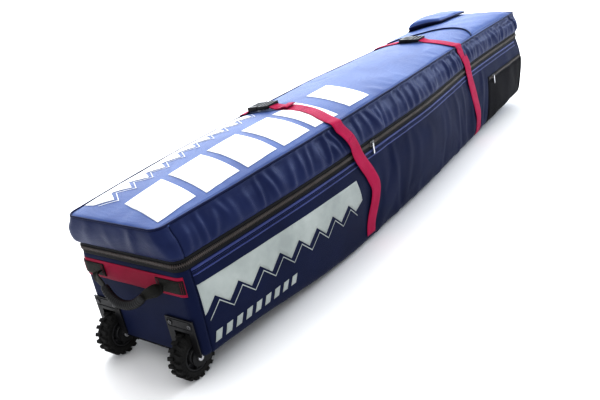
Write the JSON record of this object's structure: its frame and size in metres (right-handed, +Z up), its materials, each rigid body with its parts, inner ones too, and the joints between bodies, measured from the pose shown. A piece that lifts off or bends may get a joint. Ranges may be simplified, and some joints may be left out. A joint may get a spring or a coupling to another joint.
{
  "type": "wheeled snowboard bag",
  "caption": "Long padded wheeled bag for a snowboard: boxy tub with a zipped, hinged lid, compression straps with buckles, end grab handle and knobby wheels at one end.",
  "frame": {"origin": "middle of the footprint, on the floor", "axes": "+X along the bag from the wheel end to the far end, +Y towards the lid's hinge side, +Z up"},
  "size_m": [1.8111, 0.3793, 0.3771],
  "materials": {
    "navy_fabric": "woven nylon, slight sheen",
    "black_fabric": "coated woven, matte",
    "crimson_fabric": "woven, satin",
    "crimson_webbing": "woven webbing, satin",
    "black_webbing": "woven webbing, satin",
    "piping": "corded piping",
    "zip_tape": "woven tape",
    "zip_teeth": "moulded coil",
    "board": "plain sheet",
    "housing": "fine grained",
    "tyre": "matte",
    "hub": "fine grained",
    "steel": "zinc plated",
    "grip": "soft satin",
    "buckle": "satin",
    "slider_metal": "black enamel"
  },
  "bodies": {
    "tub": {"base_panel": "black_fabric", "base_board": "board", "tub_front_panel": "navy_fabric", "tub_rear_panel": "navy_fabric", "tub_wheel_end_panel": "navy_fabric", "tub_far_end_panel": "navy_fabric", "wheel_end_board": "board", "wheel_end_band": "crimson_fabric", "grab_anchor_webbing": "black_webbing", "wheel_housing_left": "housing", "wheel_housing_right": "housing", "housing_screws": "steel", "axle_left": "steel", "axle_right": "steel", "axle_nuts": "steel", "tub_piping": "piping", "zip_tape_lower": "zip_tape", "zip_chain_lower": "zip_teeth", "side_pocket_panel": "black_fabric", "side_pocket_zip": "zip_teeth", "strap_lower_front": "crimson_webbing", "strap_lower_rear": "crimson_webbing", "hinge_tape": "navy_fabric"},
    "wheel_left": {"tyre_left": "tyre", "wheel_hub_left": "hub", "bearings_left": "steel"},
    "wheel_right": {"tyre_right": "tyre", "wheel_hub_right": "hub", "bearings_right": "steel"},
    "grab_handle": {"grab_grip": "grip", "grab_webbing": "black_webbing"},
    "lid": {"lid_top_panel": "navy_fabric", "lid_front_gusset": "navy_fabric", "lid_rear_gusset": "navy_fabric", "lid_near_gusset": "navy_fabric", "lid_far_gusset": "navy_fabric", "lid_piping": "piping", "zip_tape_upper": "zip_tape", "zip_chain_upper": "zip_teeth", "lid_pocket_panel": "navy_fabric", "strap_rear_upper": "crimson_webbing", "buckle_sockets": "buckle", "far_handle_anchors": "black_webbing"},
    "flap": {"pocket_flap": "navy_fabric"},
    "far_grab": {"far_handle": "black_webbing"},
    "strap1_riser": {"strap_1_riser": "crimson_webbing"},
    "strap1_run": {"strap_1_run": "crimson_webbing"},
    "strap1_end": {"strap_1_end": "crimson_webbing", "buckle_plug_1": "buckle"},
    "strap2_riser": {"strap_2_riser": "crimson_webbing"},
    "strap2_run": {"strap_2_run": "crimson_webbing"},
    "strap2_end": {"strap_2_end": "crimson_webbing", "buckle_plug_2": "buckle"},
    "main_zip_slider": {"main_slider": "slider_metal"},
    "main_zip_pull": {"main_pull": "slider_metal"},
    "pocket_zip_slider": {"pocket_slider": "slider_metal"},
    "pocket_zip_pull": {"pocket_pull": "slider_metal"}
  },
  "joints": [
    {"name": "lid_hinge", "type": "hinge", "parent": "tub", "child": "lid", "pos_m": [0, 0.176, 0.256], "axis": [-1, 0, 0], "range_deg": [0, 170], "deforming": ["strap_1_riser", "strap_1_run", "strap_1_end", "buckle_plug_1", "strap_2_riser", "strap_2_run", "strap_2_end", "buckle_plug_2"]},
    {"name": "wheel_left_spin", "type": "hinge", "parent": "tub", "child": "wheel_left", "pos_m": [-0.8565, 0.113, 0.05], "axis": [0, 1, 0], "continuous": true},
    {"name": "wheel_right_spin", "type": "hinge", "parent": "tub", "child": "wheel_right", "pos_m": [-0.8565, -0.113, 0.05], "axis": [0, 1, 0], "continuous": true},
    {"name": "grab_handle_lift", "type": "hinge", "parent": "tub", "child": "grab_handle", "pos_m": [-0.8648, 0, 0.2078], "axis": [0, 1, 0], "range_deg": [-20, 78]},
    {"name": "flap_lift", "type": "hinge", "parent": "lid", "child": "flap", "pos_m": [0, 0.121, 0.34], "axis": [-1, 0, 0], "range_deg": [0, 120]},
    {"name": "far_handle_lift", "type": "hinge", "parent": "lid", "child": "far_grab", "pos_m": [0.9017, 0, 0.321], "axis": [0, -1, 0], "range_deg": [0, 90]},
    {"name": "strap1_fall", "type": "hinge", "parent": "tub", "child": "strap1_riser", "pos_m": [-0.2705, -0.193, 0.252], "axis": [1, 0, 0], "range_deg": [0, 175]},
    {"name": "strap1_unbend", "type": "hinge", "parent": "strap1_riser", "child": "strap1_run", "pos_m": [-0.2705, -0.167, 0.344], "axis": [1, 0, 0], "range_deg": [0, 95]},
    {"name": "strap1_tail", "type": "hinge", "parent": "strap1_run", "child": "strap1_end", "pos_m": [-0.2705, -0.015, 0.362], "axis": [1, 0, 0], "range_deg": [-95, 0]},
    {"name": "strap2_fall", "type": "hinge", "parent": "tub", "child": "strap2_riser", "pos_m": [0.3945, -0.167, 0.252], "axis": [1, 0, 0], "range_deg": [0, 175]},
    {"name": "strap2_unbend", "type": "hinge", "parent": "strap2_riser", "child": "strap2_run", "pos_m": [0.3945, -0.15, 0.338], "axis": [1, 0, 0], "range_deg": [0, 95]},
    {"name": "strap2_tail", "type": "hinge", "parent": "strap2_run", "child": "strap2_end", "pos_m": [0.3945, -0.08, 0.356], "axis": [1, 0, 0], "range_deg": [-95, 0]},
    {"name": "main_zip_slide", "type": "slide", "parent": "tub", "child": "main_zip_slider", "axis": [1, 0, 0], "range_m": [0, 0.26]},
    {"name": "main_pull_swing", "type": "hinge", "parent": "main_zip_slider", "child": "main_zip_pull", "pos_m": [-0.2205, -0.1919, 0.256], "axis": [-1, 0, 0], "range_deg": [0, 150]},
    {"name": "pocket_zip_slide", "type": "slide", "parent": "tub", "child": "pocket_zip_slider", "axis": [1, 0, 0], "range_m": [0, 0.23]},
    {"name": "pocket_pull_swing", "type": "hinge", "parent": "pocket_zip_slider", "child": "pocket_zip_pull", "pos_m": [0.5915, -0.16894, 0.1805], "axis": [-1, 0, 0], "range_deg": [0, 150]}
  ],
  "couplings": [
    {"joint": "strap1_fall", "follows": "lid_hinge", "ratio": 1},
    {"joint": "strap1_unbend", "follows": "lid_hinge", "ratio": 0.53},
    {"joint": "strap1_tail", "follows": "lid_hinge", "ratio": -0.53},
    {"joint": "strap2_fall", "follows": "lid_hinge", "ratio": 1},
    {"joint": "strap2_unbend", "follows": "lid_hinge", "ratio": 0.53},
    {"joint": "strap2_tail", "follows": "lid_hinge", "ratio": -0.53}
  ]
}
